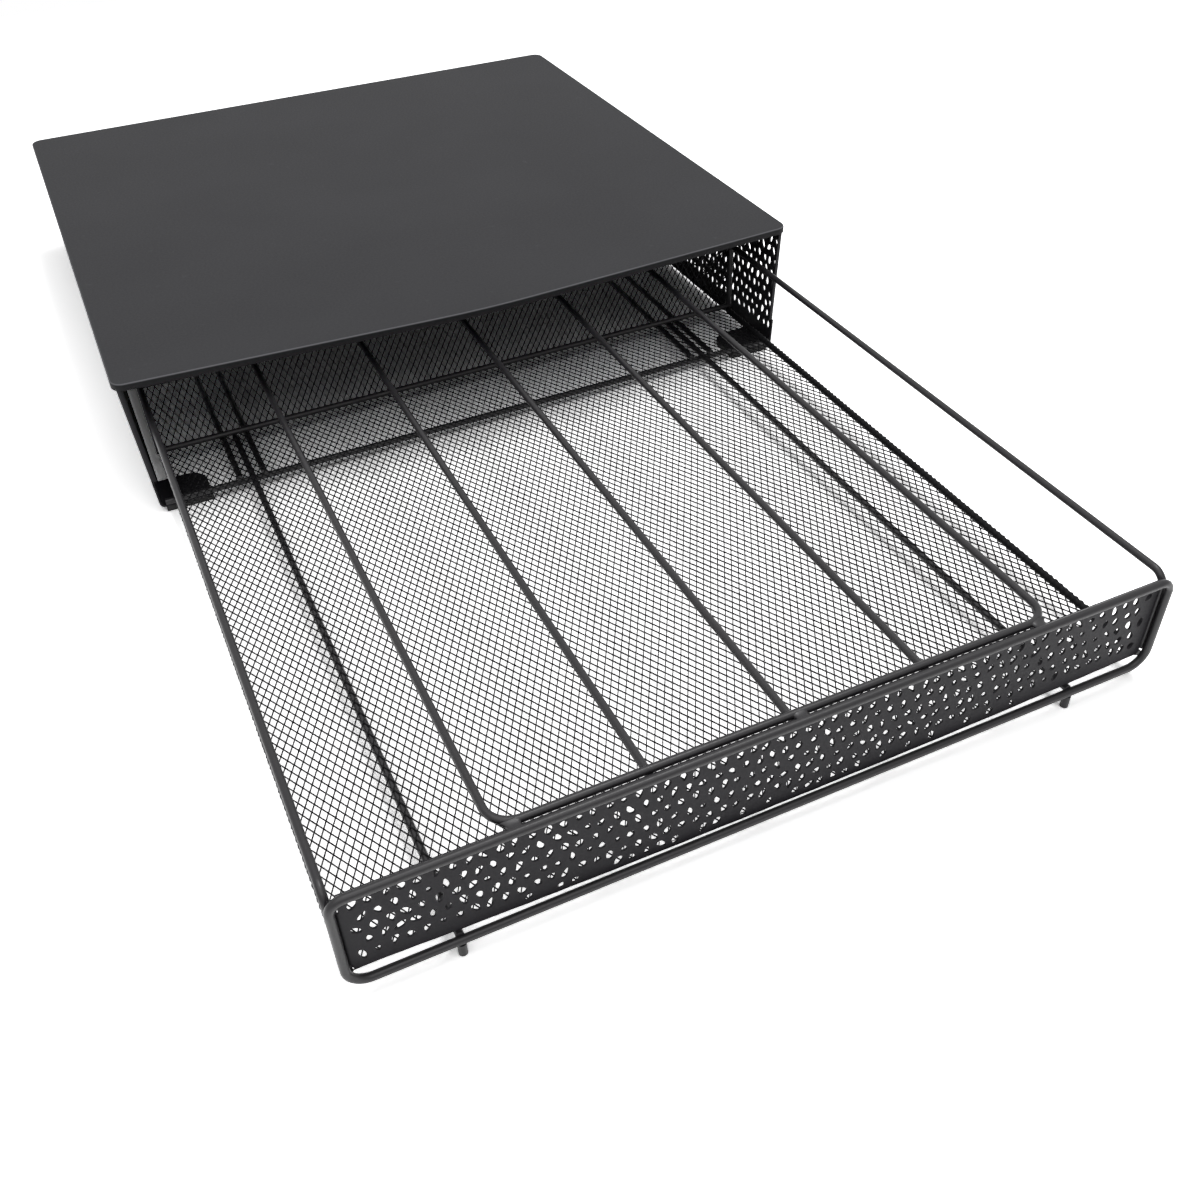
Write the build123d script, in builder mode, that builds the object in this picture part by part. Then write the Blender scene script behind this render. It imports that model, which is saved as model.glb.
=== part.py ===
from build123d import *
import os

# Countertop drawer for coffee pods, all sizes in millimetres.
# X runs across, Y from the drawer's front to the housing's back, Z up from the table.
# The origin is on the table, under the middle of the whole object with the drawer pulled out.

# ---- driving dimensions: housing ----
housing_width = 340.0
housing_depth = 328.0
housing_height = 70.0
plate_sheet = 1.0
plate_lip_sheet = 0.9
plate_lip_height = 3.3
plate_corner_radius = 6.0
plate_edge_radius = 0.8
front_bow = 10.0
front_bow_radius = 400.0

panel_sheet = 0.8
panel_overhang = 1.5
side_lean = 3.0
side_fold_radius = 2.4
upright_flange = 2.4
flange_foot = 17.6
top_flange = 9.0
bottom_flange = 2.6
foot_tab_width = 21.0

rear_crossbar_setback = 12.0
front_crossbar_setback = 0.5

pad_height = 2.8
pad_width = 22.0
pad_length = 22.0
pad_inset = 2.5
pad_corner_radius = 7.0

# ---- driving dimensions: wires ----
wire = 3.0
frame_wire = 3.2
weld_sink = 0.2
running_gap = 0.3

# ---- driving dimensions: drawer ----
drawer_side_gap = 12.0
drawer_rear_gap = 8.0
drawer_headroom = 22.0
drawer_engagement = 36.0
bottom_bar_height = 6.8
frame_top_radius = 5.0
frame_bottom_radius = 8.0
rail_bend_radius = 6.0
rail_leg_foot = 13.0
row_count = 6
row_loop_setback = 4.45
row_loop_radius = 9.0
tab_length = 8.0
tab_sheet = 1.2
tab_lift = 0.3
tab_inset = 5.8
tab_drift = 1.8
front_slit_ends = 3.0
front_slit_middle = 0.4
panel_return = 5.0
return_drop = 8.0
runner_inset = 36.5
runner_bite = 0.6
channel_spread = 5.85
mesh_sheet = 0.6
hem_diameter = 4.0
hem_inset = 1.0
hem_grip = 0.5

# ---- driving dimensions: openings in the sheets ----
hole_length = 6.0
hole_width = 3.2
hole_pitch = 9.0
hole_border = 6.0
diamond_width = 19.5
diamond_length = 35.0
strand_width = 2.4
mesh_border = 2.0

# ---- heights and places worked out from them ----
half_width = housing_width / 2
drawer_half_width = half_width - drawer_side_gap
drawer_length = housing_depth - drawer_rear_gap
pull_out = drawer_length - drawer_engagement
rim_height = housing_height - drawer_headroom
runner_spread = drawer_half_width - runner_inset
hem_spread = drawer_half_width - hem_inset
total_length = pull_out + frame_wire / 2 + housing_depth
drawer_front = -total_length / 2 + frame_wire / 2
housing_front = drawer_front + pull_out
housing_rear = housing_front + housing_depth
plate_underside = housing_height - plate_sheet
lip_edge = housing_height - plate_lip_height

flange_floor = pad_height + panel_sheet
crossbar_height = flange_floor + wire / 2
track_height = crossbar_height + wire - weld_sink
runner_height = crossbar_height + wire + running_gap
mesh_underside = runner_height + wire / 2
mesh_top = mesh_underside + mesh_sheet

side_top = half_width - panel_overhang
side_bottom = side_top - side_lean
side_front = housing_front + panel_overhang
rear_panel_inside = housing_rear - panel_overhang - panel_sheet
crossbar_half_length = side_bottom - side_fold_radius - running_gap
front_crossbar_place = side_front + front_crossbar_setback
rear_crossbar_place = rear_panel_inside - rear_crossbar_setback

row_pitch = 2 * drawer_half_width / row_count
row_loop_front = drawer_front + row_loop_setback
divider_height = rim_height - wire + weld_sink
drawer_rear = drawer_front + drawer_length
rear_bar_height = mesh_top + wire / 2
frame_back = drawer_front + frame_wire / 2
rail_leg_place = frame_back + wire / 2 - weld_sink
panel_half_width = drawer_half_width - wire / 2
panel_back = frame_back + panel_sheet
hem_height = (mesh_underside + mesh_top) / 2

os.makedirs("parts", exist_ok=True)


def finish_piece(piece, name):
    """Label a finished piece and write its file."""
    piece.part.label = name
    export_step(piece.part, f"parts/{name}.step")


def straight_wire(start, end, diameter):
    """One cut length of round wire between two points."""
    with BuildPart() as cut_wire:
        with BuildLine() as centre:
            Line(start, end)
        with BuildSketch(Plane(origin=start, z_dir=centre.line % 0)):
            Circle(diameter / 2)
        sweep()
    return cut_wire


def bent_wire(points, bend_radii, diameter, closed=False):
    """A round wire bent at each corner of its route."""
    with BuildPart() as formed_wire:
        with BuildLine() as centre:
            FilletPolyline(*points, radius=bend_radii, close=closed)
        with BuildSketch(Plane(origin=centre.line @ 0, z_dir=centre.line % 0)):
            Circle(diameter / 2)
        sweep()
    return formed_wire


def hole_places(width, height):
    """Centres and turns of the oval holes of a perforated sheet, in staggered rows."""
    columns = int((width - 2 * hole_border) / hole_pitch)
    rows = int((height - 2 * hole_border) / hole_pitch) + 1
    places = []
    for row in range(rows):
        for column in range(columns):
            shift = hole_pitch * (0.25 if row % 2 else -0.25)
            turn = (37 * column + 71 * row) % 180
            across = (column - (columns - 1) / 2) * hole_pitch + shift
            up = (row - (rows - 1) / 2) * hole_pitch
            places.append((across, up, turn))
    return places


def oval_holes(width, height):
    """The edges of the oval holes of a perforated sheet, about the middle of its sketch."""
    with BuildSketch(mode=Mode.PRIVATE) as hole:
        Ellipse(hole_length / 2, hole_width / 2)
    edge = hole.sketch.faces()[0].outer_wire()
    places = hole_places(width, height)
    return [edge.moved(Location((across, up, 0), (0, 0, turn))) for across, up, turn in places]


def diamond_holes(width, height):
    """The edges of the diamonds of expanded mesh that fit inside its plain border."""
    columns = max(1, int((width - 2 * mesh_border) / diamond_width))
    rows = max(1, int((height - 2 * mesh_border) / diamond_length))
    column_pitch = (width - 2 * mesh_border) / columns
    line_pitch = (height - 2 * mesh_border) / rows / 2
    half_across = (column_pitch - strand_width) / 2
    half_up = line_pitch * half_across / (column_pitch / 2)
    with BuildSketch(mode=Mode.PRIVATE) as hole:
        Polygon((half_across, 0), (0, half_up), (-half_across, 0), (0, -half_up))
    edge = hole.sketch.faces()[0].outer_wire()
    holes = []
    for line in range(2 * rows - 1):
        stagger = line % 2
        for column in range(columns - stagger):
            across = (column - (columns - 1 - stagger) / 2) * column_pitch
            up = (line - (rows - 1)) * line_pitch
            holes.append(edge.moved(Location((across, up, 0))))
    return holes


def holed_face(outline, holes):
    """A sheet's face with its outline and the edges of its holes."""
    return Face(outline.sketch.faces()[0].outer_wire(), holes)


# ---- top plate: one sheet pressed with a short lip all round, its front edge bowed out ----
def plate_outline(inset):
    """The plate's plan outline, moved in by inset."""
    with BuildSketch() as outline:
        with BuildLine():
            bow = FilletPolyline(
                (-half_width, housing_front),
                (0, housing_front - front_bow),
                (half_width, housing_front),
                radius=front_bow_radius,
            )
            Polyline(bow @ 1, (half_width, housing_rear), (-half_width, housing_rear), bow @ 0)
        make_face()
        corners = outline.vertices().group_by(Axis.X)[0] + outline.vertices().group_by(Axis.X)[-1]
        fillet(corners, plate_corner_radius)
        if inset > 0:
            offset(amount=-inset, mode=Mode.REPLACE)
    return outline.sketch


def lip_space():
    """The room that the plate's lip takes up, which the sheets under it are notched for."""
    with BuildPart() as lip:
        with BuildSketch(Plane.XY.offset(lip_edge)):
            add(plate_outline(0))
            add(plate_outline(plate_lip_sheet + running_gap), mode=Mode.SUBTRACT)
        extrude(amount=plate_lip_height)
    return lip.part


with BuildPart() as top_plate:
    with BuildSketch(Plane.XY.offset(lip_edge)):
        add(plate_outline(0))
    extrude(amount=plate_lip_height)
    fillet(top_plate.faces().sort_by(Axis.Z)[-1].edges(), plate_edge_radius)
    with BuildSketch(Plane.XY.offset(lip_edge)):
        add(plate_outline(plate_lip_sheet))
    extrude(amount=plate_lip_height - plate_sheet, mode=Mode.SUBTRACT)
finish_piece(top_plate, "top_plate")


# ---- side panels: perforated sheet that leans in, folded under the plate and over the pads ----
# Their front and rear flanges end above the foot, where two tabs turn in over the pads.
side_length = rear_panel_inside - side_front
side_middle = (side_front + rear_panel_inside) / 2
wall_foot = pad_height + 2 * side_fold_radius
wall_head = lip_edge - running_gap
pad_outer = side_bottom - pad_inset
lip_room = lip_space()
lean_per_height = side_lean / (plate_underside - pad_height)


def side_surface(height):
    """How far out the side panel's outer face stands at a height."""
    return side_bottom + (height - pad_height) * lean_per_height


def side_panel(hand):
    """A side panel on the left (hand -1) or the right (hand 1)."""
    top_edge = Vector(hand * side_surface(wall_head), side_middle, wall_head)
    foot_edge = Vector(hand * side_surface(wall_foot), side_middle, wall_foot)
    wall_height = (top_edge - foot_edge).length
    wall_plane = Plane(
        origin=(top_edge + foot_edge) / 2,
        x_dir=(0, hand, 0),
        z_dir=(top_edge - foot_edge).cross(Vector(0, -hand, 0)),
    )
    inner_side = Side.LEFT if hand < 0 else Side.RIGHT
    with BuildSketch(mode=Mode.PRIVATE) as wall_outline:
        Rectangle(side_length, wall_height)
    wall = holed_face(wall_outline, oval_holes(side_length, wall_height))
    with BuildPart() as panel:
        with BuildSketch(Plane.XZ.offset(-side_front)):
            with BuildLine():
                FilletPolyline(
                    (hand * side_surface(wall_foot), wall_foot),
                    (hand * side_bottom, pad_height),
                    (hand * (side_bottom - bottom_flange), pad_height),
                    radius=side_fold_radius,
                )
                offset(amount=panel_sheet, side=inner_side)
            make_face()
            with BuildLine():
                Polyline(
                    (hand * side_top, plate_underside),
                    (hand * (side_top - top_flange), plate_underside),
                    (hand * (side_top - top_flange), plate_underside - panel_sheet),
                    (hand * (side_top - panel_sheet), plate_underside - panel_sheet),
                    (hand * (side_surface(wall_head) - panel_sheet), wall_head),
                    (hand * side_surface(wall_head), wall_head),
                    close=True,
                )
            make_face()
        extrude(amount=-side_length)
        for place, inward in ((side_front, 1), (rear_panel_inside, -1)):
            with BuildSketch(Plane.XZ.offset(-place)):
                with BuildLine():
                    Polyline(
                        (hand * side_top, plate_underside),
                        (hand * (side_top - upright_flange), plate_underside),
                        (hand * (side_surface(flange_foot) - upright_flange), flange_foot),
                        (hand * side_surface(flange_foot), flange_foot),
                        close=True,
                    )
                make_face()
            extrude(amount=-inward * panel_sheet)
            with BuildSketch(Plane.XY.offset(pad_height)) as foot_tab:
                tab_outer = side_bottom - bottom_flange
                with Locations((hand * (tab_outer - foot_tab_width / 2), place + inward * pad_length / 2)):
                    Rectangle(foot_tab_width, pad_length)
                inner_end = foot_tab.vertices().sort_by(Axis.X)
                pair = inner_end[:2] if hand > 0 else inner_end[-2:]
                fillet(pair.sort_by(Axis.Y)[-1 if inward > 0 else 0], pad_corner_radius)
            extrude(amount=panel_sheet)
        add(lip_room, mode=Mode.SUBTRACT)
        with BuildSketch(wall_plane):
            add(wall)
        extrude(amount=-panel_sheet, clean=False)
    return panel


left_side_panel = side_panel(-1)
finish_piece(left_side_panel, "left_side_panel")
right_side_panel = side_panel(1)
finish_piece(right_side_panel, "right_side_panel")


# ---- rear panel: perforated sheet between the side panels, hung from the plate ----
rear_panel_height = plate_underside - pad_height
rear_panel_middle = (plate_underside + pad_height) / 2
with BuildSketch() as rear_outline:
    with BuildLine():
        Polyline(
            (-side_top, rear_panel_height / 2),
            (side_top, rear_panel_height / 2),
            (side_bottom, -rear_panel_height / 2),
            (-side_bottom, -rear_panel_height / 2),
            close=True,
        )
    make_face()
rear_sheet = holed_face(rear_outline, oval_holes(2 * side_bottom, rear_panel_height))
rear_panel_plane = Plane(
    origin=(0, rear_panel_inside, rear_panel_middle), x_dir=(1, 0, 0), z_dir=(0, -1, 0)
)
with BuildPart() as rear_panel:
    with BuildSketch(rear_panel_plane):
        add(rear_sheet)
    extrude(amount=-panel_sheet, clean=False)
    add(lip_room, mode=Mode.SUBTRACT, clean=False)
finish_piece(rear_panel, "rear_panel")


# ---- foot pads: moulded pads under the four corners, the inner corner rounded ----
for side_name, hand in (("left", -1), ("right", 1)):
    for end_name, pad_start, inward in (
        ("front", side_front, 1),
        ("rear", rear_panel_inside, -1),
    ):
        with BuildPart() as foot_pad:
            with BuildSketch():
                with Locations((hand * (pad_outer - pad_width / 2), pad_start + inward * pad_length / 2)):
                    Rectangle(pad_width, pad_length)
            extrude(amount=pad_height)
            inner_edges = foot_pad.edges().filter_by(Axis.Z).sort_by(Axis.X)
            pair = inner_edges[:2] if hand > 0 else inner_edges[-2:]
            fillet(pair.sort_by(Axis.Y)[-1 if inward > 0 else 0], pad_corner_radius)
        finish_piece(foot_pad, f"{side_name}_{end_name}_foot_pad")


# ---- crossbars: wires across the housing, welded on the side panels' foot tabs ----
for name, place in (("front_crossbar", front_crossbar_place), ("rear_crossbar", rear_crossbar_place)):
    crossbar = straight_wire(
        (-crossbar_half_length, place, crossbar_height),
        (crossbar_half_length, place, crossbar_height),
        wire,
    )
    finish_piece(crossbar, name)


# ---- tracks: two pairs of wires laid over the crossbars, a channel for each runner ----
track_start = front_crossbar_place - wire / 2
track_end = rear_crossbar_place + wire / 2
for side_name, hand in (("left", -1), ("right", 1)):
    for rank, across in (
        ("outer", runner_spread + channel_spread),
        ("inner", runner_spread - channel_spread),
    ):
        track = straight_wire(
            (hand * across, track_start, track_height),
            (hand * across, track_end, track_height),
            wire,
        )
        finish_piece(track, f"{side_name}_{rank}_track")


# ---- front frame: a closed loop of wire round the drawer's front ----
front_frame = bent_wire(
    [
        (-drawer_half_width, drawer_front, bottom_bar_height),
        (drawer_half_width, drawer_front, bottom_bar_height),
        (drawer_half_width, drawer_front, rim_height),
        (-drawer_half_width, drawer_front, rim_height),
    ],
    [frame_bottom_radius, frame_bottom_radius, frame_top_radius, frame_top_radius],
    frame_wire,
    closed=True,
)
finish_piece(front_frame, "front_frame")


# ---- front panel: perforated sheet behind the loop, its ends folded back along the legs ----
bottom_bar_top = bottom_bar_height + frame_wire / 2
slit_end_height = bottom_bar_top + front_slit_ends
slit_middle_height = bottom_bar_top + front_slit_middle
return_foot = hem_height + hem_diameter / 2 + running_gap
return_head = rim_height - return_drop
panel_height = rim_height - slit_end_height
front_panel_middle = (rim_height + slit_end_height) / 2
with BuildSketch() as front_outline:
    with BuildLine():
        foot_arc = ThreePointArc(
            (-panel_half_width, slit_end_height - front_panel_middle),
            (0, slit_middle_height - front_panel_middle),
            (panel_half_width, slit_end_height - front_panel_middle),
        )
        Polyline(
            foot_arc @ 1,
            (panel_half_width, rim_height - front_panel_middle),
            (-panel_half_width, rim_height - front_panel_middle),
            foot_arc @ 0,
        )
    make_face()
front_sheet = holed_face(front_outline, oval_holes(2 * panel_half_width, panel_height))
front_panel_plane = Plane(origin=(0, frame_back, front_panel_middle), x_dir=(1, 0, 0), z_dir=(0, -1, 0))
with BuildPart() as front_panel:
    for hand in (-1, 1):
        with BuildSketch(Plane.XZ.offset(-frame_back)):
            with Locations((hand * (panel_half_width - panel_sheet / 2), (return_head + return_foot) / 2)):
                Rectangle(panel_sheet, return_head - return_foot)
        extrude(amount=-(panel_sheet + panel_return))
    with BuildSketch(front_panel_plane):
        add(front_sheet)
    extrude(amount=-panel_sheet, clean=False)
finish_piece(front_panel, "front_panel")


# ---- top rails: long wires of the rim, bent down behind the front loop's legs ----
for side_name, hand in (("left", -1), ("right", 1)):
    rail = bent_wire(
        [
            (hand * drawer_half_width, rail_leg_place, rail_leg_foot),
            (hand * drawer_half_width, rail_leg_place, rim_height),
            (hand * drawer_half_width, drawer_rear + wire / 2, rim_height),
        ],
        rail_bend_radius,
        wire,
    )
    finish_piece(rail, f"{side_name}_top_rail")


# ---- row loop: a U of wire that bounds the outer rows, welded to the front loop by tabs ----
loop_spread = 2 * row_pitch
loop_rear = drawer_rear - wire / 2 + weld_sink
row_loop = bent_wire(
    [
        (-loop_spread, loop_rear, rim_height),
        (-loop_spread, row_loop_front, rim_height),
        (loop_spread, row_loop_front, rim_height),
        (loop_spread, loop_rear, rim_height),
    ],
    row_loop_radius,
    wire,
)
finish_piece(row_loop, "row_loop")

with BuildPart() as weld_tabs:
    with BuildSketch(Plane.XY.offset(rim_height + tab_lift)):
        for across in (tab_inset - loop_spread, tab_drift, loop_spread - tab_inset):
            with Locations((across, (drawer_front + row_loop_front) / 2)):
                Rectangle(tab_length, row_loop_setback)
    extrude(amount=tab_sheet)
finish_piece(weld_tabs, "weld_tabs")


# ---- divider wires: straight wires welded under the row loop and the rear bar ----
for number, step in enumerate((-1, 0, 1), start=1):
    divider = straight_wire(
        (step * row_pitch, row_loop_front - wire / 2, divider_height),
        (step * row_pitch, drawer_rear + wire / 2, divider_height),
        wire,
    )
    finish_piece(divider, f"divider_wire_{number}")


# ---- floor mesh and rear mesh: expanded metal, its diamonds long from front to back ----
mesh_half_width = hem_spread - hem_diameter / 2 + hem_grip
mesh_rear = drawer_rear + wire / 2
floor_length = mesh_rear + mesh_sheet - panel_back
with BuildSketch() as floor_outline:
    Rectangle(2 * mesh_half_width, floor_length)
floor_net = holed_face(floor_outline, diamond_holes(2 * mesh_half_width, floor_length))
with BuildPart() as floor_mesh:
    with BuildSketch(Plane(origin=(0, panel_back + floor_length / 2, mesh_underside))):
        add(floor_net)
    extrude(amount=mesh_sheet, clean=False)
finish_piece(floor_mesh, "floor_mesh")

rear_mesh_height = rim_height - mesh_top
rear_mesh_plane = Plane(
    origin=(0, mesh_rear, (rim_height + mesh_top) / 2), x_dir=(1, 0, 0), z_dir=(0, -1, 0)
)
with BuildSketch() as rear_net_outline:
    Rectangle(2 * drawer_half_width, rear_mesh_height)
rear_net = holed_face(rear_net_outline, diamond_holes(2 * drawer_half_width, rear_mesh_height))
with BuildPart() as rear_mesh:
    with BuildSketch(rear_mesh_plane):
        add(rear_net)
    extrude(amount=-mesh_sheet, clean=False)
finish_piece(rear_mesh, "rear_mesh")


# ---- floor hems and runners: the rolled side edges of the floor, and the wires under it ----
for side_name, hand in (("left", -1), ("right", 1)):
    hem = straight_wire(
        (hand * hem_spread, panel_back + weld_sink, hem_height),
        (hand * hem_spread, drawer_rear - wire / 2 + weld_sink, hem_height),
        hem_diameter,
    )
    finish_piece(hem, f"{side_name}_floor_hem")
    runner = straight_wire(
        (hand * runner_spread, drawer_front + runner_bite, runner_height),
        (hand * runner_spread, mesh_rear, runner_height),
        wire,
    )
    finish_piece(runner, f"{side_name}_runner")


# ---- rear frame: two bars and two posts that carry the rear mesh and the rim's back ----
rear_bottom_bar = straight_wire(
    (-drawer_half_width - wire / 2, drawer_rear, rear_bar_height),
    (drawer_half_width + wire / 2, drawer_rear, rear_bar_height),
    wire,
)
finish_piece(rear_bottom_bar, "rear_bottom_bar")

rear_top_reach = drawer_half_width - wire / 2 + weld_sink
rear_top_bar = straight_wire(
    (-rear_top_reach, drawer_rear, rim_height),
    (rear_top_reach, drawer_rear, rim_height),
    wire,
)
finish_piece(rear_top_bar, "rear_top_bar")

for side_name, hand in (("left", -1), ("right", 1)):
    post = straight_wire(
        (hand * drawer_half_width, drawer_rear, rear_bar_height + wire / 2 - weld_sink),
        (hand * drawer_half_width, drawer_rear, rim_height - wire / 2 + weld_sink),
        wire,
    )
    finish_piece(post, f"{side_name}_rear_post")


# ---- foot pegs: short stubs under the front loop that hold the open drawer off the table ----
for side_name, hand in (("left", -1), ("right", 1)):
    peg = straight_wire(
        (hand * runner_spread, drawer_front, 0),
        (hand * runner_spread, drawer_front, bottom_bar_height - frame_wire / 2 + weld_sink),
        frame_wire,
    )
    finish_piece(peg, f"{side_name}_foot_peg")
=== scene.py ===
import math
import random

import bpy
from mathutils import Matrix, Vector
from mathutils.geometry import delaunay_2d_cdt


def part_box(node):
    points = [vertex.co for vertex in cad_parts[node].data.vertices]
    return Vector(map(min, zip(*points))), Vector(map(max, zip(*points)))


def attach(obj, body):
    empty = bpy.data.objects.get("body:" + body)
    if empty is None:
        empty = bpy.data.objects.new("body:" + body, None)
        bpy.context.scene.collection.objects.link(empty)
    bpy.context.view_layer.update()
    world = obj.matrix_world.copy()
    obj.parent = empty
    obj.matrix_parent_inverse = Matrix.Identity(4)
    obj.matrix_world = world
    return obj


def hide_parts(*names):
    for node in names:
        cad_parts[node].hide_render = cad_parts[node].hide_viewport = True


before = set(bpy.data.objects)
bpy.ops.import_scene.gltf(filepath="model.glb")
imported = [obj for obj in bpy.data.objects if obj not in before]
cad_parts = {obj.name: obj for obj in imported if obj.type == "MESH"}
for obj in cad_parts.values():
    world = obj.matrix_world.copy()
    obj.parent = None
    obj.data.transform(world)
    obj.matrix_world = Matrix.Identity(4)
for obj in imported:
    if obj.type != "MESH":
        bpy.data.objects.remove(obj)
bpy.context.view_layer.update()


# ---------------------------------------------------------------------------------------------
# Top plate: one pressed steel sheet with a short lip all round, its front edge bowed out.
# It is powder coated in a matt charcoal, a little lighter than the rest of the drawer. Painted
# light is
# added to that colour by face direction: a painted highlight on the rounded edges, painted shade on
# the lip.
# ---------------------------------------------------------------------------------------------
MM = 0.001


def powder_coat(name, colour, rough, grain, grain_height, shine=0.5):
    """Baked powder coat: a fine orange peel, faint cloudiness and a few pale rub marks."""
    coat = bpy.data.materials.new(name)
    coat.use_nodes = True
    nodes, links = coat.node_tree.nodes, coat.node_tree.links
    shader = nodes["Principled BSDF"]
    place = nodes.new("ShaderNodeTexCoord")
    cloud = nodes.new("ShaderNodeTexNoise")
    cloud.inputs["Scale"].default_value = 14.0
    cloud.inputs["Detail"].default_value = 3.0
    peel = nodes.new("ShaderNodeTexNoise")
    peel.inputs["Scale"].default_value = grain
    peel.inputs["Detail"].default_value = 2.0
    rubs = nodes.new("ShaderNodeTexNoise")
    rubs.inputs["Scale"].default_value = 160.0
    rubs.inputs["Detail"].default_value = 6.0
    for texture in (cloud, peel, rubs):
        links.new(place.outputs["Object"], texture.inputs["Vector"])
    tone = nodes.new("ShaderNodeValToRGB")
    tone.color_ramp.elements[0].position = 0.35
    tone.color_ramp.elements[1].position = 0.68
    tone.color_ramp.elements[0].color = [0.95 * c for c in colour] + [1.0]
    tone.color_ramp.elements[1].color = [1.05 * c for c in colour] + [1.0]
    links.new(cloud.outputs["Fac"], tone.inputs["Fac"])
    rub_mask = nodes.new("ShaderNodeMapRange")
    rub_mask.inputs["From Min"].default_value = 0.68
    rub_mask.inputs["From Max"].default_value = 0.82
    rub_mask.inputs["To Max"].default_value = 0.35
    links.new(rubs.outputs["Fac"], rub_mask.inputs["Value"])
    rubbed = nodes.new("ShaderNodeMixRGB")
    rubbed.inputs["Color2"].default_value = [2.2 * c for c in colour] + [1.0]
    links.new(rub_mask.outputs["Result"], rubbed.inputs["Fac"])
    links.new(tone.outputs["Color"], rubbed.inputs["Color1"])
    links.new(rubbed.outputs["Color"], shader.inputs["Base Color"])
    gloss = nodes.new("ShaderNodeMapRange")
    gloss.inputs["From Min"].default_value = 0.3
    gloss.inputs["From Max"].default_value = 0.7
    gloss.inputs["To Min"].default_value = rough - 0.05
    gloss.inputs["To Max"].default_value = rough + 0.07
    links.new(peel.outputs["Fac"], gloss.inputs["Value"])
    links.new(gloss.outputs["Result"], shader.inputs["Roughness"])
    bump = nodes.new("ShaderNodeBump")
    bump.inputs["Strength"].default_value = 0.5
    bump.inputs["Distance"].default_value = grain_height
    links.new(peel.outputs["Fac"], bump.inputs["Height"])
    links.new(bump.outputs["Normal"], shader.inputs["Normal"])
    shader.inputs["Specular IOR Level"].default_value = shine
    return coat


def coat_node(node, material):
    """Give a piece of the frame its finish."""
    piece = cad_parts[node]
    piece.data.materials.clear()
    piece.data.materials.append(material)


charcoal_coat_painted_light = powder_coat("charcoal_coat_painted_light", (0.042, 0.042, 0.045), 0.6, 900.0, 0.04 * MM, 0.1)
# Painted highlight: the rounded pressed edges, whose faces tilt between upright and flat, are made
# 3.2 times lighter; the flat top keeps its colour.
painted_edge_highlight_tones = ((0.6, 3.2), (0.92, 3.2), (0.985, 1.0))
plate_nodes, plate_links = charcoal_coat_painted_light.node_tree.nodes, charcoal_coat_painted_light.node_tree.links
plate_shader = plate_nodes["Principled BSDF"]
plate_colour = plate_shader.inputs["Base Color"].links[0].from_socket
facing = plate_nodes.new("ShaderNodeNewGeometry")
upward = plate_nodes.new("ShaderNodeSeparateXYZ")
plate_links.new(facing.outputs["Normal"], upward.inputs["Vector"])
# Painted shade: the upright lip and the faces that point down are darkened to half, by the upward
# part of the face's normal.
painted_light_by_facing = plate_nodes.new("ShaderNodeValToRGB")
painted_light_by_facing.color_ramp.elements[0].position = 0.02
painted_light_by_facing.color_ramp.elements[0].color = (0.5, 0.5, 0.5, 1)
painted_light_by_facing.color_ramp.elements[1].position = 0.3
painted_light_by_facing.color_ramp.elements[1].color = (0.9, 0.9, 0.9, 1)
for position, level in painted_edge_highlight_tones:
    painted_light_by_facing.color_ramp.elements.new(position).color = (level, level, level, 1)
plate_links.new(upward.outputs["Z"], painted_light_by_facing.inputs["Fac"])
plate_colour_painted_light = plate_nodes.new("ShaderNodeMixRGB")
plate_colour_painted_light.blend_type = "MULTIPLY"
plate_colour_painted_light.inputs["Fac"].default_value = 1.0
plate_links.new(plate_colour, plate_colour_painted_light.inputs["Color1"])
plate_links.new(painted_light_by_facing.outputs["Color"], plate_colour_painted_light.inputs["Color2"])
plate_links.new(plate_colour_painted_light.outputs["Color"], plate_shader.inputs["Base Color"])
coat_node("top_plate", charcoal_coat_painted_light)
plate_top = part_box("top_plate")[1].z


# ---------------------------------------------------------------------------------------------
# Side panels: steel sheet punched all over with ovals and drops, with a narrow fold up each end,
# a wider one under the plate and two foot tabs. They lean in towards the foot and are spot welded
# to the plate.
# ---------------------------------------------------------------------------------------------
black_coat = powder_coat("black_coat", (0.018, 0.017, 0.019), 0.36, 1300.0, 0.03 * MM, 0.4)
sheet_coat = powder_coat("sheet_coat", (0.020, 0.019, 0.022), 0.46, 1300.0, 0.03 * MM, 0.12)

punch_pitch_across = 5.2 * MM
punch_pitch_up = 5.9 * MM
punch_points = 16
punch_shift = 0.1
punch_half_long = (1.55, 2.55)
punch_half_wide = (0.95, 1.45)
punch_turn_spread = 22
punch_tapers = (0.0, 0.0, 0.25, 0.45, -0.35)
round_punch_share = 0.15
round_punch_stretch = 1.1


def punched_holes(low, high, keep, seed):
    """Outlines of punched holes between two corners of a flat sheet, where keep allows them."""
    draw = random.Random(seed)
    outlines = []
    rows = int((high[1] - low[1]) / punch_pitch_up)
    columns = int((high[0] - low[0]) / punch_pitch_across)
    for row in range(rows):
        for column in range(columns):
            stagger = 0.5 if row % 2 else 0.0
            shift = draw.uniform(-punch_shift, punch_shift)
            x = low[0] + (column + 0.5 + stagger + shift) * punch_pitch_across
            shift = draw.uniform(-punch_shift, punch_shift)
            y = low[1] + (row + 0.5 + shift) * punch_pitch_up
            half_long = draw.uniform(*punch_half_long) * MM
            half_wide = draw.uniform(*punch_half_wide) * MM
            turn = math.radians(draw.gauss(90, punch_turn_spread))
            taper = draw.choice(punch_tapers)
            if draw.random() < round_punch_share:
                half_long = half_wide * round_punch_stretch
            if not keep(x, y, half_long):
                continue
            outline = []
            for step in range(punch_points):
                angle = 2 * math.pi * step / punch_points
                along = half_long * math.cos(angle)
                across = half_wide * math.sin(angle) * (1 + taper * math.cos(angle))
                outline.append(
                    (
                        x + along * math.cos(turn) - across * math.sin(turn),
                        y + along * math.sin(turn) + across * math.cos(turn),
                    )
                )
            outlines.append(outline)
    return outlines


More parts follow.
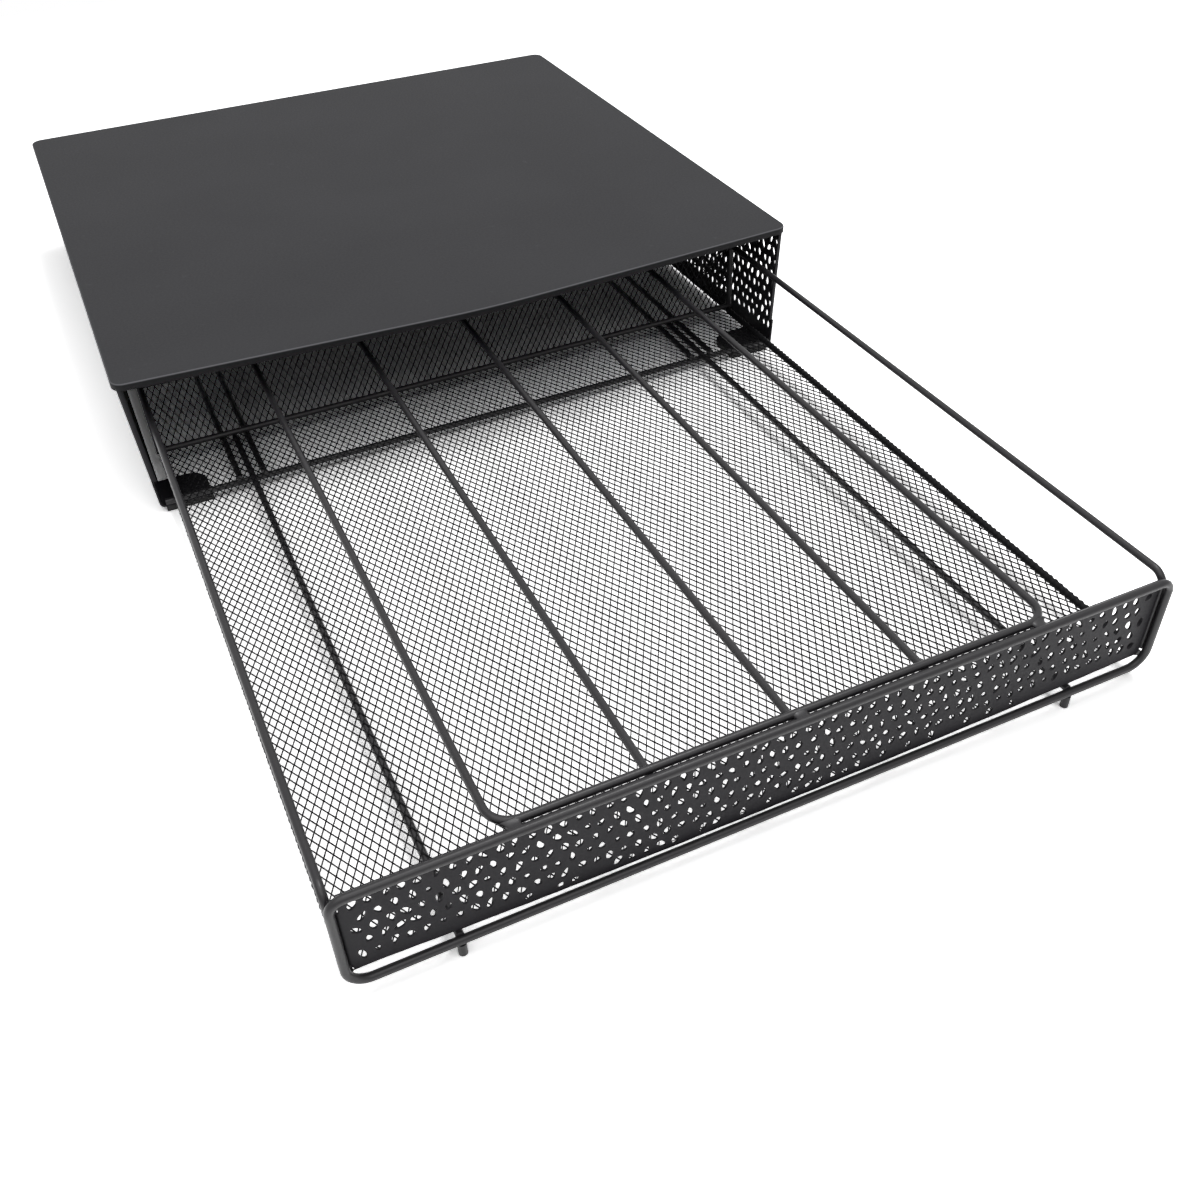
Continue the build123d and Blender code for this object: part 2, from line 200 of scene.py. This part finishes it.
def flat_sheet(outline, holes, fold_lines=()):
    """Points and triangles of a flat sheet with holes; fold lines give it rows of points."""
    points = [Vector(p) for p in outline]
    faces = [list(range(len(points)))]
    for hole in holes:
        start = len(points)
        points += [Vector(p) for p in hole]
        faces.append(list(range(start, len(points))))
    edges = []
    for line_start, line_end in fold_lines:
        edges.append((len(points), len(points) + 1))
        points += [Vector(line_start), Vector(line_end)]
    places, _, triangles, _, _, owners = delaunay_2d_cdt(points, edges, faces, 1, 1e-7)
    solid = [t for t, owner in zip(triangles, owners) if list(owner) == [0]]
    return [Vector((p.x, p.y)) for p in places], solid


def add_piece(name, points, faces, material, body, nodes):
    """One modelled piece that stands in for nodes of the frame and moves with a body."""
    mesh = bpy.data.meshes.new(name)
    mesh.from_pydata([tuple(p) for p in points], [], faces)
    mesh.update()
    piece = bpy.data.objects.new(name, mesh)
    bpy.context.collection.objects.link(piece)
    mesh.materials.append(material)
    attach(piece, body)
    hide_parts(*nodes)
    return piece


def sheet_piece(name, places, triangles, bend, thickness, material, body, nodes):
    """A bent, punched sheet as one piece: bend turns a flat place and a depth into a point."""
    count = len(places)
    front = [bend(p.x, p.y, 0.0) for p in places]
    back = [bend(p.x, p.y, thickness) for p in places]
    faces = [tuple(t) for t in triangles]
    faces += [(t[0] + count, t[2] + count, t[1] + count) for t in triangles]
    sides = dict.fromkeys(
        (t[k], t[(k + 1) % 3]) for t in triangles for k in range(3)
    )
    faces += [(b, a, a + count, b + count) for a, b in sides if (b, a) not in sides]
    piece = add_piece(name, front + back, faces, material, body, nodes)
    piece.data.validate()
    piece.data.update()


class FoldedPath:
    """The line across a folded sheet's outer face: straight runs and left-hand folds in a plane."""

    def __init__(self, start, heading, runs):
        self.runs = []
        place, along = Vector(start), 0.0
        for length, turn in runs:
            self.runs.append((along, along + length, place.copy(), heading, turn))
            place = self._step(place, heading, length, turn, length)
            heading += turn
            along += length
        self.length = along

    @staticmethod
    def _step(place, heading, length, turn, travelled):
        """Where a run has come to after some of its length."""
        if abs(turn) < 1e-9:
            return place + travelled * Vector((math.cos(heading), math.sin(heading)))
        radius = length / turn
        swept = travelled / radius
        centre = place + radius * Vector((-math.sin(heading), math.cos(heading)))
        return centre + radius * Vector((math.sin(heading + swept), -math.cos(heading + swept)))

    def at(self, along, depth=0.0):
        """The point at a length along the path and a depth into the sheet, on its left."""
        for begin, end, place, heading, turn in self.runs:
            if along <= end or end >= self.length - 1e-9:
                travelled = along - begin
                angle = heading + turn * travelled / (end - begin)
                point = self._step(place, heading, end - begin, turn, travelled)
                return point + depth * Vector((-math.sin(angle), math.cos(angle)))

    def fold_marks(self, steps):
        """Lengths along the path that split each fold into short facets."""
        marks = []
        for begin, end, _, _, turn in self.runs:
            if abs(turn) > 1e-9:
                marks += [begin + (end - begin) * k / steps for k in range(steps + 1)]
        return marks


def fold_length(radius, turn):
    """The outer face's length round a fold."""
    return radius * abs(turn)


sheet_thickness = 0.8 * MM
foot_fold_radius = 2.4 * MM
foot_flange = 2.6 * MM
foot_tab_length = 22.0 * MM
foot_tab_corner = 7.0 * MM
head_fold_radius = 1.6 * MM
head_flange = 9.0 * MM
upright_fold_radius = 1.6 * MM
upright_flange = 2.4 * MM
upright_foot = 17.6 * MM
fold_relief = 0.5 * MM
head_relief = 1.0 * MM
fold_steps = 6
upright_fold_steps = 5
tab_corner_steps = 6
blank_border = 1.9 * MM
end_border_share = 0.7
side_low, side_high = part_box("right_side_panel")
plate_underside = side_high.z
side_foot_out = 165.5 * MM
lean = math.atan2(side_high.x - side_foot_out, plate_underside - side_low.z)
foot_setback = foot_fold_radius * math.tan(math.pi / 4 - lean / 2)
foot_flat = side_foot_out - side_low.x - foot_setback
foot_fold = fold_length(foot_fold_radius, math.pi / 2 - lean)
foot_fold_top = side_low.z + foot_fold_radius * (1 - math.sin(lean))
head_fold = fold_length(head_fold_radius, math.pi / 2 + lean)
head_fold_foot = plate_underside - head_fold_radius * (1 + math.sin(lean))
wall_run = (head_fold_foot - foot_fold_top) / math.cos(lean)
side_profile = FoldedPath(
    (side_low.x, side_low.z),
    0.0,
    [
        (foot_flat, 0.0),
        (foot_fold, math.pi / 2 - lean),
        (wall_run, 0.0),
        (head_fold, math.pi / 2 + lean),
        (head_flange - head_fold_radius, 0.0),
    ],
)
upright_fold = fold_length(upright_fold_radius, math.pi / 2)
upright_reach = upright_fold + upright_flange - upright_fold_radius
panel_run = side_high.y - side_low.y - 2 * upright_fold_radius
panel_reach = panel_run + 2 * upright_reach
wall_start = foot_flat + foot_fold
flange_foot = wall_start + (upright_foot - foot_fold_top) / math.cos(lean)
flange_head = wall_start + wall_run - head_relief
tab_front = upright_reach - upright_fold_radius
tab_back = panel_reach - tab_front
narrow_edge = foot_flat + foot_setback - foot_flange


def side_outline():
    """The flat blank of a side panel: two foot tabs, and a flange up each end."""
    inner, outer = upright_reach, panel_reach - upright_reach
    front_round, back_round = [], []
    for k in range(tab_corner_steps + 1):
        angle = math.pi / 2 * k / tab_corner_steps
        sweep_x = foot_tab_corner * (1 - math.cos(angle))
        sweep_y = foot_tab_corner * (1 - math.sin(angle))
        front_round.append((tab_front + foot_tab_length - sweep_x, sweep_y))
        back_round.append((tab_back - foot_tab_length + sweep_x, sweep_y))
    return [
        (tab_front, 0), *reversed(front_round), (tab_front + foot_tab_length, narrow_edge),
        (tab_back - foot_tab_length, narrow_edge), *back_round, (tab_back, 0),
        (tab_back, flange_foot - fold_relief), (outer, flange_foot - fold_relief),
        (outer, flange_foot), (panel_reach, flange_foot), (panel_reach, flange_head),
        (outer, flange_head), (outer, side_profile.length), (inner, side_profile.length),
        (inner, flange_head), (0, flange_head), (0, flange_foot), (inner, flange_foot),
        (inner, flange_foot - fold_relief), (tab_front, flange_foot - fold_relief),
    ]


def side_fold_lines():
    """The lines that the blank is folded along."""
    inner, outer = upright_reach, panel_reach - upright_reach
    lines = []
    for mark in side_profile.fold_marks(fold_steps):
        if mark < flange_foot:
            lines.append(((tab_front, mark), (tab_back, mark)))
        else:
            lines.append(((inner, mark), (outer, mark)))
    flat_part = upright_flange - upright_fold_radius
    for k in range(upright_fold_steps + 1):
        turn_in = flat_part + upright_fold * k / upright_fold_steps
        lines.append(((turn_in, flange_foot), (turn_in, flange_head)))
        lines.append(((panel_reach - turn_in, flange_foot), (panel_reach - turn_in, flange_head)))
    return lines


def in_side_wall(x, y, reach):
    """Whether a hole stays in the wall, clear of the folds."""
    margin = blank_border + reach
    edge = end_border_share * reach
    return (
        upright_reach + edge < x < panel_reach - upright_reach - edge
        and wall_start + margin < y < flange_head - margin
    )


def side_bend(hand):
    """Folds the flat blank into the left (-1) or right (1) side panel."""

    def bend(x, y, depth):
        past_fold = max(0.0, max(upright_reach - x, x - (panel_reach - upright_reach)))
        end = -1 if x < panel_reach / 2 else 1
        if past_fold > 0 and y < flange_foot - fold_relief / 2:
            across = side_profile.at(y, depth)
            reached = side_low.y + x - tab_front if end < 0 else side_high.y + x - tab_back
            return Vector((hand * across.x, reached, across.y))
        angle = min(past_fold, upright_fold) / upright_fold_radius
        straight = max(0.0, past_fold - upright_fold)
        inward = upright_fold_radius * (1 - math.cos(angle)) + straight + depth * math.cos(angle)
        run = min(max(x - upright_reach, 0.0), panel_run)
        place_y = side_low.y + upright_fold_radius + run
        place_y += end * (upright_fold_radius * math.sin(angle) - depth * math.sin(angle))
        across = side_profile.at(y, inward)
        return Vector((hand * across.x, place_y, across.y))

    return bend


for side, hand, seed in (("left", -1, 11), ("right", 1, 23)):
    holes = punched_holes((0, 0), (panel_reach, side_profile.length), in_side_wall, seed)
    places, triangles = flat_sheet(side_outline(), holes, side_fold_lines())
    sheet_piece(
        f"{side}_punched_side", places, triangles, side_bend(hand), sheet_thickness,
        sheet_coat, "housing", [f"{side}_side_panel"],
    )


# ---------------------------------------------------------------------------------------------
# Rear panel: a flat sheet punched like the sides that closes the housing's back. It laps the
# sides' rear flanges, to which it is spot welded.
# ---------------------------------------------------------------------------------------------
rear_low, rear_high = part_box("rear_panel")
rear_lap = 1.6 * MM
lip_height = 3.3 * MM
lip_gap = 0.2 * MM
lip_edge = plate_top - lip_height
rear_notch = 5.0 * MM


def rear_half_width(height):
    """Half of the rear panel's width at a height."""
    return side_foot_out + (height - side_low.z) * math.tan(lean) - rear_lap


def rear_bend(x, y, depth):
    """Stands the flat sheet up at the back."""
    return Vector((x, rear_high.y - depth, y))


def in_rear_panel(x, y, reach):
    """Whether a hole stays in the rear panel, clear of its edges."""
    margin = blank_border + reach
    return (
        abs(x) < rear_half_width(y) - 2 * margin
        and rear_low.z + 2 * margin < y < lip_edge - margin
    )


rear_outline = [
    (-rear_half_width(rear_low.z), rear_low.z),
    (rear_half_width(rear_low.z), rear_low.z),
    (rear_half_width(lip_edge), lip_edge - lip_gap),
    (rear_half_width(lip_edge) - rear_notch, lip_edge - lip_gap),
    (rear_half_width(lip_edge) - rear_notch, rear_high.z),
    (-rear_half_width(lip_edge) + rear_notch, rear_high.z),
    (-rear_half_width(lip_edge) + rear_notch, lip_edge - lip_gap),
    (-rear_half_width(lip_edge), lip_edge - lip_gap),
]
rear_holes = punched_holes((rear_low.x, rear_low.z), (rear_high.x, rear_high.z), in_rear_panel, 31)
places, triangles = flat_sheet(rear_outline, rear_holes)
sheet_piece(
    "punched_back", places, triangles, rear_bend, sheet_thickness,
    sheet_coat, "housing", ["rear_panel"],
)


# ---------------------------------------------------------------------------------------------
# Foot pads: four pads of black rubber, moulded with one rounded corner and stuck under the side
# panels' foot tabs.
# ---------------------------------------------------------------------------------------------
pad_rubber = powder_coat("pad_rubber", (0.012, 0.012, 0.012), 0.75, 700.0, 0.05 * MM)
for pad in ("left_front", "left_rear", "right_front", "right_rear"):
    coat_node(f"{pad}_foot_pad", pad_rubber)


# ---------------------------------------------------------------------------------------------
# Crossbars and tracks: straight lengths of wire welded across the side panels' foot tabs, and the
# two pairs laid over them that guide the drawer's runners. All are coated black with the housing.
# ---------------------------------------------------------------------------------------------
for bar in ("front_crossbar", "rear_crossbar"):
    coat_node(bar, black_coat)
for side in ("left", "right"):
    for rank in ("outer", "inner"):
        coat_node(f"{side}_{rank}_track", black_coat)


# ---------------------------------------------------------------------------------------------
# Drawer wires: the front loop, the rails, the row loop, the dividers, the runners, the rear bars,
# posts and pegs, all of round steel wire, bent cold, welded and coated satin black.
# ---------------------------------------------------------------------------------------------
for wire in (
    "front_frame", "left_top_rail", "right_top_rail", "row_loop", "divider_wire_1",
    "divider_wire_2", "divider_wire_3", "left_runner", "right_runner", "rear_bottom_bar",
    "rear_top_bar", "left_rear_post", "right_rear_post", "left_foot_peg", "right_foot_peg",
):
    coat_node(wire, black_coat)


# ---------------------------------------------------------------------------------------------
# Weld bridges: three short strips of steel welded flat between the front loop's top bar and the
# row loop. The weld metal flares where it meets each bar.
# ---------------------------------------------------------------------------------------------
bridge_low, bridge_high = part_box("weld_tabs")
bridge_places = (-99.3 * MM, 1.8 * MM, 99.3 * MM)
bridge_waist = 2.5 * MM
bridge_flare = 1.7 * MM
bridge_sag = 0.35 * MM
bridge_half_depth = 0.95 * MM
bridge_rings = 14
bridge_sides = 28
flare_power = 2.2
side_roundness, up_roundness = 0.6, 0.8
points, faces = [], []
for middle in bridge_places:
    first = len(points)
    for ring in range(bridge_rings + 1):
        along = 2 * ring / bridge_rings - 1
        half_width = bridge_waist + bridge_flare * abs(along) ** flare_power
        height = bridge_high.z - bridge_half_depth - bridge_sag * (1 - along * along)
        y = bridge_low.y + (bridge_high.y - bridge_low.y) * ring / bridge_rings
        for k in range(bridge_sides):
            angle = 2 * math.pi * k / bridge_sides
            side_way, up_way = math.cos(angle), math.sin(angle)
            x = middle + half_width * math.copysign(abs(side_way) ** side_roundness, side_way)
            z = height + bridge_half_depth * math.copysign(abs(up_way) ** up_roundness, up_way)
            points.append((x, y, z))
    for ring in range(bridge_rings):
        for k in range(bridge_sides):
            after = (k + 1) % bridge_sides
            here, there = first + ring * bridge_sides, first + (ring + 1) * bridge_sides
            faces.append((here + k, here + after, there + after, there + k))
    faces.append(tuple(range(first + bridge_sides - 1, first - 1, -1)))
    last = first + bridge_rings * bridge_sides
    faces.append(tuple(range(last, last + bridge_sides)))
bridges = add_piece(
    "weld_bridges", points, faces, black_coat, "drawer", ["weld_tabs"]
)
bridges.data.shade_smooth()


# ---------------------------------------------------------------------------------------------
# Front panel: a punched strip behind the front loop. Its ends are folded back inside the rails'
# legs, and its foot is cut in a shallow curve that leaves a slit over the bottom bar.
# ---------------------------------------------------------------------------------------------
strip_low, strip_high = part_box("front_panel")
strip_fold_radius = 1.3 * MM
return_depth = strip_high.y - strip_low.y
strip_fold = fold_length(strip_fold_radius, math.pi / 2)
strip_run = strip_high.x - strip_low.x - 2 * strip_fold_radius
strip_profile = FoldedPath(
    (strip_low.x, strip_high.y),
    -math.pi / 2,
    [
        (return_depth - strip_fold_radius, 0.0),
        (strip_fold, math.pi / 2),
        (strip_run, 0.0),
        (strip_fold, math.pi / 2),
        (return_depth - strip_fold_radius, 0.0),
    ],
)
strip_return = return_depth - strip_fold_radius + strip_fold
return_foot = 12.6 * MM
return_head = 40.0 * MM
slit_left = 11.6 * MM
slit_right = 11.4 * MM
slit_middle = 8.2 * MM
slit_sweep = 2.5
slit_steps = 60
ragged_depth = 0.12 * MM
ragged_waves = (410.0, 173.0)
strip_border = 1.1 * MM
strip_head_border = 0.8 * MM
strip_fold_steps = 5


def strip_foot(x):
    """The height of the strip's curved foot at a place along it."""
    from_middle = 2 * (x - strip_profile.length / 2) / strip_run
    rise = (slit_left if from_middle < 0 else slit_right) - slit_middle
    ragged = ragged_depth * math.sin(x * ragged_waves[0]) * math.sin(x * ragged_waves[1])
    return slit_middle + rise * abs(from_middle) ** slit_sweep + ragged


def strip_bend(x, y, depth):
    """Folds the flat strip round the drawer's front."""
    place = strip_profile.at(x, depth)
    return Vector((place.x, place.y, y))


def in_strip(x, y, reach):
    """Whether a hole stays in the strip, clear of its edges."""
    margin = strip_border + reach
    return (
        strip_return + margin < x < strip_profile.length - strip_return - margin
        and strip_foot(x) + margin < y < strip_high.z - margin - strip_head_border
    )


strip_outline = [(0, return_foot), (strip_return, return_foot)]
for k in range(slit_steps + 1):
    x = strip_return + (strip_profile.length - 2 * strip_return) * k / slit_steps
    strip_outline.append((x, strip_foot(x)))
strip_outline += [
    (strip_profile.length - strip_return, return_foot),
    (strip_profile.length, return_foot),
    (strip_profile.length, return_head),
    (strip_profile.length - strip_return, return_head),
    (strip_profile.length - strip_return, strip_high.z),
    (strip_return, strip_high.z),
    (strip_return, return_head),
    (0, return_head),
]
strip_fold_lines = [
    ((mark, return_foot), (mark, return_head))
    for mark in strip_profile.fold_marks(strip_fold_steps)
]
strip_holes = punched_holes((0, strip_low.z), (strip_profile.length, strip_high.z), in_strip, 5)
places, triangles = flat_sheet(strip_outline, strip_holes, strip_fold_lines)
sheet_piece(
    "punched_front", places, triangles, strip_bend, sheet_thickness,
    sheet_coat, "drawer", ["front_panel"],
)


# ---------------------------------------------------------------------------------------------
# Floor mesh and rear mesh: fine expanded steel, its diamonds long from front to back and then
# up the back. The strands are slit and stretched from one sheet, so they twist a little.
# ---------------------------------------------------------------------------------------------
mesh_coat = powder_coat("mesh_coat", (0.010, 0.010, 0.011), 0.45, 2000.0, 0.02 * MM, 0.08)
diamond_width = 3.34 * MM
diamond_length = 6.0 * MM
strand = 0.41 * MM
mesh_thickness = 0.5 * MM
strand_twist = 0.06 * MM
floor_inset = 0.1 * MM
floor_wave = 0.12 * MM
floor_waves = (61.0, 37.0)
back_inset = 0.02 * MM


def expanded_mesh(name, width, length, bend, nodes):
    """A rectangle of expanded mesh as one piece: bend stands the flat mesh where it belongs."""
    columns = round(width / diamond_width)
    rows = round(length / diamond_length)
    step_x, step_y = width / columns / 2, length / rows / 2
    shrink = 1 - strand / (2 * step_x * step_y / math.hypot(step_x, step_y))
    corner_index, points, quads = {}, [], []

    def corner(i, j):
        if (i, j) not in corner_index:
            corner_index[(i, j)] = len(points)
            points.append((i * step_x, j * step_y, 0.0))
        return corner_index[(i, j)]

    for i in range(2 * columns + 1):
        for j in range(i % 2, 2 * rows + 1, 2):
            ring = [(i + 1, j), (i, j + 1), (i - 1, j), (i, j - 1)]
            ring = [(a, b) for a, b in ring if 0 <= a <= 2 * columns and 0 <= b <= 2 * rows]
            if len(ring) < 4:
                ring.append((i, j))
            middle_x = sum(a for a, _ in ring) / len(ring)
            middle_y = sum(b for _, b in ring) / len(ring)
            ring.sort(key=lambda p: math.atan2(p[1] - middle_y, p[0] - middle_x))
            outer = [corner(a, b) for a, b in ring]
            inner = []
            for a, b in ring:
                inner.append(len(points))
                points.append(
                    (
                        (middle_x + (a - middle_x) * shrink) * step_x,
                        (middle_y + (b - middle_y) * shrink) * step_y,
                        strand_twist * (1 if b > middle_y else -1 if b < middle_y else 0),
                    )
                )
            for k in range(len(ring)):
                after = (k + 1) % len(ring)
                quads.append((outer[k], outer[after], inner[after], inner[k]))
    count = len(points)
    upper = [bend(x, y, lift) for x, y, lift in points]
    lower = [bend(x, y, lift - mesh_thickness) for x, y, lift in points]
    faces = list(quads)
    faces += [(d + count, c + count, b + count, a + count) for a, b, c, d in quads]
    faces += [(d, c, c + count, d + count) for a, b, c, d in quads]
    sides = dict.fromkeys((a, b) for a, b, _, _ in quads)
    faces += [(b, a, a + count, b + count) for a, b in sides if (b, a) not in sides]
    add_piece(name, upper + lower, faces, mesh_coat, "drawer", nodes)


floor_low, floor_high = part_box("floor_mesh")
back_low, back_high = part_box("rear_mesh")


def floor_bend(x, y, lift):
    """Lays the mesh on the runners, with the slight waves of thin sheet."""
    wave = floor_wave * math.sin(x * floor_waves[0]) * math.cos(y * floor_waves[1])
    return Vector((floor_low.x + x, floor_low.y + y, floor_high.z - floor_inset + lift + wave))


def back_bend(x, y, lift):
    """Stands the mesh up behind the rear bars."""
    return Vector((back_low.x + x, back_low.y - lift + back_inset, back_low.z + y))


expanded_mesh(
    "expanded_floor", floor_high.x - floor_low.x, floor_high.y - floor_low.y, floor_bend,
    ["floor_mesh"],
)
expanded_mesh(
    "expanded_back", back_high.x - back_low.x, back_high.z - back_low.z, back_bend,
    ["rear_mesh"],
)


# ---------------------------------------------------------------------------------------------
# Floor hems: the mesh's side edges rolled tight on themselves, so cut strands stand out as a row
# of lumps under the coat.
# ---------------------------------------------------------------------------------------------
hem_ring_pitch = 0.75 * MM
hem_sides = 14
hem_radius = 1.62
hem_lump = 0.24
hem_jitter = 0.1
for side, hand in (("left", -1), ("right", 1)):
    low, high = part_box(f"{side}_floor_hem")
    draw = random.Random(41 + hand)
    rings = int((high.y - low.y) / hem_ring_pitch)
    middle_x, middle_z = (low.x + high.x) / 2, (low.z + high.z) / 2
    points, faces = [], []
    for ring in range(rings + 1):
        y = low.y + (high.y - low.y) * ring / rings
        for k in range(hem_sides):
            angle = 2 * math.pi * k / hem_sides
            lump = math.cos(2 * math.pi * y / (diamond_length / 2) + 2 * angle)
            radius = (hem_radius + hem_lump * lump + draw.uniform(-hem_jitter, hem_jitter)) * MM
            x, z = middle_x + radius * math.cos(angle), middle_z + radius * math.sin(angle)
            points.append((x, y, z))
    for ring in range(rings):
        for k in range(hem_sides):
            after = (k + 1) % hem_sides
            first, second = ring * hem_sides, (ring + 1) * hem_sides
            faces.append((first + k, second + k, second + after, first + after))
    faces.append(tuple(range(hem_sides)))
    faces.append(tuple(reversed(range(rings * hem_sides, (rings + 1) * hem_sides))))
    hem = add_piece(
        f"{side}_rolled_hem", points, faces, mesh_coat, "drawer", [f"{side}_floor_hem"]
    )
    hem.data.shade_smooth()


# ---------------------------------------------------------------------------------------------
# Table: a plain white top under the part. Rays that show the background see it whiter than the
# light that it throws back, so it stays white and still keeps the part's shadow.
# ---------------------------------------------------------------------------------------------
table_half = 0.9
table_mesh = bpy.data.meshes.new("table")
table_mesh.from_pydata(
    [(x * table_half, y * table_half, 0) for x, y in ((-1, -1), (1, -1), (1, 1), (-1, 1))],
    [], [(0, 1, 2, 3)],
)
table = bpy.data.objects.new("table", table_mesh)
bpy.context.collection.objects.link(table)


def seen_rays(nodes, links):
    """1 for the rays that show the background itself: straight, mirrored or through glass."""
    path = nodes.new("ShaderNodeLightPath")
    total = path.outputs["Is Camera Ray"]
    for ray in ("Is Glossy Ray", "Is Transmission Ray"):
        either = nodes.new("ShaderNodeMath")
        either.operation = "MAXIMUM"
        links.new(total, either.inputs[0])
        links.new(path.outputs[ray], either.inputs[1])
        total = either.outputs["Value"]
    return total


table_paint = bpy.data.materials.new("table_paint")
table_paint.use_nodes = True
paint_nodes, paint_links = table_paint.node_tree.nodes, table_paint.node_tree.links
paint_nodes.remove(paint_nodes["Principled BSDF"])
chalk = paint_nodes.new("ShaderNodeBsdfDiffuse")
paint_links.new(chalk.outputs["BSDF"], paint_nodes["Material Output"].inputs["Surface"])
whiteness = paint_nodes.new("ShaderNodeMapRange")
whiteness.inputs["To Min"].default_value = 0.8
whiteness.inputs["To Max"].default_value = 2.35
paint_links.new(seen_rays(paint_nodes, paint_links), whiteness.inputs["Value"])
paint_links.new(whiteness.outputs["Result"], chalk.inputs["Color"])
table_mesh.materials.append(table_paint)


# ---------------------------------------------------------------------------------------------
# Backdrop and lamps: an even white backdrop, one large soft light overhead and a smaller one on
# the right that shines through the punched side.
# ---------------------------------------------------------------------------------------------
world = bpy.data.worlds.new("studio")
bpy.context.scene.world = world
world.use_nodes = True
world_nodes, world_links = world.node_tree.nodes, world.node_tree.links
backdrop = world_nodes["Background"]
backdrop.inputs["Color"].default_value = (1, 1, 1, 1)
strength = world_nodes.new("ShaderNodeMapRange")
strength.inputs["To Min"].default_value = 0.18
strength.inputs["To Max"].default_value = 1.0
world_links.new(seen_rays(world_nodes, world_links), strength.inputs["Value"])
world_links.new(strength.outputs["Result"], backdrop.inputs["Strength"])


def softbox(name, place, aim, size, power):
    """One large soft light."""
    lamp = bpy.data.lights.new(name, "AREA")
    lamp.size = size
    lamp.energy = power
    holder = bpy.data.objects.new(name, lamp)
    holder.location = place
    holder.rotation_euler = (Vector(aim) - Vector(place)).to_track_quat("-Z", "Y").to_euler()
    bpy.context.collection.objects.link(holder)


softbox("overhead", (-0.15, -0.4, 1.15), (0, -0.1, 0), 1.5, 10.0)
softbox("key", (0.42, 0.05, 1.55), (0, -0.05, 0), 0.5, 8.0)


# ---------------------------------------------------------------------------------------------
# Camera: where the photograph was taken from, found from the plate's and the front loop's corners.
# ---------------------------------------------------------------------------------------------
camera_place = Vector((-0.16855, -0.52797, 0.33799))
camera_turn = (math.radians(49.224), math.radians(1.529), math.radians(-25.277))
camera_data = bpy.data.cameras.new("camera")
camera_data.sensor_width = 36.0
camera_data.lens = 36.655
camera_data.clip_start = 0.01
camera = bpy.data.objects.new("camera", camera_data)
camera.location = camera_place
camera.rotation_euler = camera_turn
bpy.context.collection.objects.link(camera)
bpy.context.scene.camera = camera
bpy.context.scene.view_settings.view_transform = "Standard"
